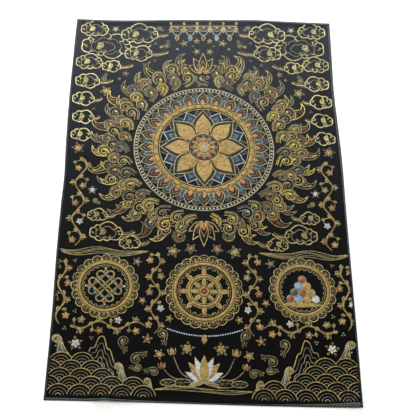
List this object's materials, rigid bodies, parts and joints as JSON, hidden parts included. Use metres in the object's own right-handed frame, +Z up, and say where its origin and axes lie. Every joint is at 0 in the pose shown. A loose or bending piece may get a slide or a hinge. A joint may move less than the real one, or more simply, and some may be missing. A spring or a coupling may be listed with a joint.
{
  "type": "unmounted woven thangka panel",
  "caption": "Rectangular black-ground brocade panel with gold figured weave and overlocked edges, lying face up, for wall display or for mounting as a hanging scroll.",
  "frame": {"origin": "on the resting plane, under the middle of the panel's outline", "axes": "+Y along the panel's length towards the top edge of its picture, +X to the picture's right, +Z up out of its face"},
  "size_m": [0.6048, 0.9115, 0.0114],
  "materials": {
    "black_brocade": "satin",
    "overlock_thread": "matte"
  },
  "bodies": {
    "root": {"woven_panel": "black_brocade", "overlock_left": "overlock_thread", "overlock_right": "overlock_thread", "overlock_bottom": "overlock_thread", "overlock_top": "overlock_thread"}
  },
  "joints": []
}
